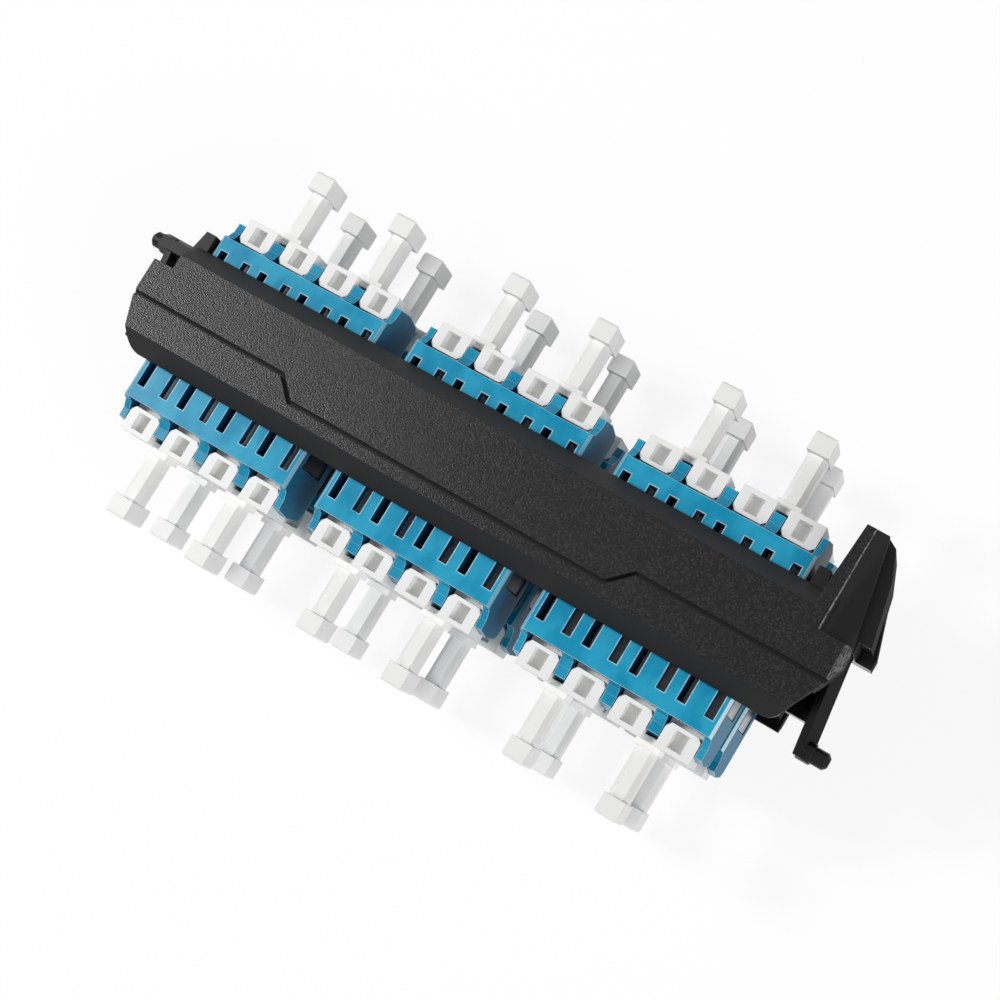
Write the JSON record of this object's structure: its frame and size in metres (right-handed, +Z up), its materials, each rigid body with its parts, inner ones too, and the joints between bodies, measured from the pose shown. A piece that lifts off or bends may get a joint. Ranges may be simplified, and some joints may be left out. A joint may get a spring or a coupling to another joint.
{
  "type": "fibre adapter panel",
  "caption": "Latch-in fibre patching panel: moulded black frame with two rows of blue quad adapters, every port pair closed by a white duplex dust cap with a pull handle.",
  "frame": {"origin": "on the resting plane, under the middle of the panel: the centre of the overall box in X and Y, and its lowest level", "axes": "+X along the panel to the end with the horn, +Y out of the rear ports, +Z up to the roof"},
  "size_m": [0.108, 0.0502, 0.0282],
  "materials": {
    "black_plastic": "fine spark-eroded moulded plastic",
    "blue_plastic": "glossy moulded plastic",
    "white_plastic": "satin moulded plastic",
    "spring_steel": "stamped spring steel",
    "ceramic": "polished ceramic"
  },
  "bodies": {
    "panel": {"frame": "black_plastic", "adapter_lower_1": "blue_plastic", "sleeve_holders_lower_1": "blue_plastic", "ceramic_sleeves_lower_1": "ceramic", "spring_clips_lower_1": "spring_steel", "adapter_lower_2": "blue_plastic", "sleeve_holders_lower_2": "blue_plastic", "ceramic_sleeves_lower_2": "ceramic", "spring_clips_lower_2": "spring_steel", "adapter_lower_3": "blue_plastic", "sleeve_holders_lower_3": "blue_plastic", "ceramic_sleeves_lower_3": "ceramic", "spring_clips_lower_3": "spring_steel", "adapter_upper_1": "blue_plastic", "sleeve_holders_upper_1": "blue_plastic", "ceramic_sleeves_upper_1": "ceramic", "spring_clips_upper_1": "spring_steel", "adapter_upper_2": "blue_plastic", "sleeve_holders_upper_2": "blue_plastic", "ceramic_sleeves_upper_2": "ceramic", "spring_clips_upper_2": "spring_steel", "adapter_upper_3": "blue_plastic", "sleeve_holders_upper_3": "blue_plastic", "ceramic_sleeves_upper_3": "ceramic", "spring_clips_upper_3": "spring_steel"},
    "cap_rear_lower_1": {"cap_rear_lower_1": "white_plastic"},
    "cap_rear_lower_2": {"cap_rear_lower_2": "white_plastic"},
    "cap_rear_lower_3": {"cap_rear_lower_3": "white_plastic"},
    "cap_rear_lower_4": {"cap_rear_lower_4": "white_plastic"},
    "cap_rear_lower_5": {"cap_rear_lower_5": "white_plastic"},
    "cap_rear_lower_6": {"cap_rear_lower_6": "white_plastic"},
    "cap_rear_upper_1": {"cap_rear_upper_1": "white_plastic"},
    "cap_rear_upper_2": {"cap_rear_upper_2": "white_plastic"},
    "cap_rear_upper_3": {"cap_rear_upper_3": "white_plastic"},
    "cap_rear_upper_4": {"cap_rear_upper_4": "white_plastic"},
    "cap_rear_upper_5": {"cap_rear_upper_5": "white_plastic"},
    "cap_rear_upper_6": {"cap_rear_upper_6": "white_plastic"},
    "cap_front_lower_1": {"cap_front_lower_1": "white_plastic"},
    "cap_front_lower_2": {"cap_front_lower_2": "white_plastic"},
    "cap_front_lower_3": {"cap_front_lower_3": "white_plastic"},
    "cap_front_lower_4": {"cap_front_lower_4": "white_plastic"},
    "cap_front_lower_5": {"cap_front_lower_5": "white_plastic"},
    "cap_front_lower_6": {"cap_front_lower_6": "white_plastic"},
    "cap_front_upper_1": {"cap_front_upper_1": "white_plastic"},
    "cap_front_upper_2": {"cap_front_upper_2": "white_plastic"},
    "cap_front_upper_3": {"cap_front_upper_3": "white_plastic"},
    "cap_front_upper_4": {"cap_front_upper_4": "white_plastic"},
    "cap_front_upper_5": {"cap_front_upper_5": "white_plastic"},
    "cap_front_upper_6": {"cap_front_upper_6": "white_plastic"}
  },
  "joints": [
    {"name": "cap_rear_lower_1_pull", "type": "slide", "parent": "panel", "child": "cap_rear_lower_1", "axis": [0, 1, 0], "range_m": [0, 0.012]},
    {"name": "cap_rear_lower_2_pull", "type": "slide", "parent": "panel", "child": "cap_rear_lower_2", "axis": [0, 1, 0], "range_m": [0, 0.012]},
    {"name": "cap_rear_lower_3_pull", "type": "slide", "parent": "panel", "child": "cap_rear_lower_3", "axis": [0, 1, 0], "range_m": [0, 0.012]},
    {"name": "cap_rear_lower_4_pull", "type": "slide", "parent": "panel", "child": "cap_rear_lower_4", "axis": [0, 1, 0], "range_m": [0, 0.012]},
    {"name": "cap_rear_lower_5_pull", "type": "slide", "parent": "panel", "child": "cap_rear_lower_5", "axis": [0, 1, 0], "range_m": [0, 0.012]},
    {"name": "cap_rear_lower_6_pull", "type": "slide", "parent": "panel", "child": "cap_rear_lower_6", "axis": [0, 1, 0], "range_m": [0, 0.012]},
    {"name": "cap_rear_upper_1_pull", "type": "slide", "parent": "panel", "child": "cap_rear_upper_1", "axis": [0, 1, 0], "range_m": [0, 0.012]},
    {"name": "cap_rear_upper_2_pull", "type": "slide", "parent": "panel", "child": "cap_rear_upper_2", "axis": [0, 1, 0], "range_m": [0, 0.012]},
    {"name": "cap_rear_upper_3_pull", "type": "slide", "parent": "panel", "child": "cap_rear_upper_3", "axis": [0, 1, 0], "range_m": [0, 0.012]},
    {"name": "cap_rear_upper_4_pull", "type": "slide", "parent": "panel", "child": "cap_rear_upper_4", "axis": [0, 1, 0], "range_m": [0, 0.012]},
    {"name": "cap_rear_upper_5_pull", "type": "slide", "parent": "panel", "child": "cap_rear_upper_5", "axis": [0, 1, 0], "range_m": [0, 0.012]},
    {"name": "cap_rear_upper_6_pull", "type": "slide", "parent": "panel", "child": "cap_rear_upper_6", "axis": [0, 1, 0], "range_m": [0, 0.012]},
    {"name": "cap_front_lower_1_pull", "type": "slide", "parent": "panel", "child": "cap_front_lower_1", "axis": [0, -1, 0], "range_m": [0, 0.012]},
    {"name": "cap_front_lower_2_pull", "type": "slide", "parent": "panel", "child": "cap_front_lower_2", "axis": [0, -1, 0], "range_m": [0, 0.012]},
    {"name": "cap_front_lower_3_pull", "type": "slide", "parent": "panel", "child": "cap_front_lower_3", "axis": [0, -1, 0], "range_m": [0, 0.012]},
    {"name": "cap_front_lower_4_pull", "type": "slide", "parent": "panel", "child": "cap_front_lower_4", "axis": [0, -1, 0], "range_m": [0, 0.012]},
    {"name": "cap_front_lower_5_pull", "type": "slide", "parent": "panel", "child": "cap_front_lower_5", "axis": [0, -1, 0], "range_m": [0, 0.012]},
    {"name": "cap_front_lower_6_pull", "type": "slide", "parent": "panel", "child": "cap_front_lower_6", "axis": [0, -1, 0], "range_m": [0, 0.012]},
    {"name": "cap_front_upper_1_pull", "type": "slide", "parent": "panel", "child": "cap_front_upper_1", "axis": [0, -1, 0], "range_m": [0, 0.012]},
    {"name": "cap_front_upper_2_pull", "type": "slide", "parent": "panel", "child": "cap_front_upper_2", "axis": [0, -1, 0], "range_m": [0, 0.012]},
    {"name": "cap_front_upper_3_pull", "type": "slide", "parent": "panel", "child": "cap_front_upper_3", "axis": [0, -1, 0], "range_m": [0, 0.012]},
    {"name": "cap_front_upper_4_pull", "type": "slide", "parent": "panel", "child": "cap_front_upper_4", "axis": [0, -1, 0], "range_m": [0, 0.012]},
    {"name": "cap_front_upper_5_pull", "type": "slide", "parent": "panel", "child": "cap_front_upper_5", "axis": [0, -1, 0], "range_m": [0, 0.012]},
    {"name": "cap_front_upper_6_pull", "type": "slide", "parent": "panel", "child": "cap_front_upper_6", "axis": [0, -1, 0], "range_m": [0, 0.012]}
  ]
}
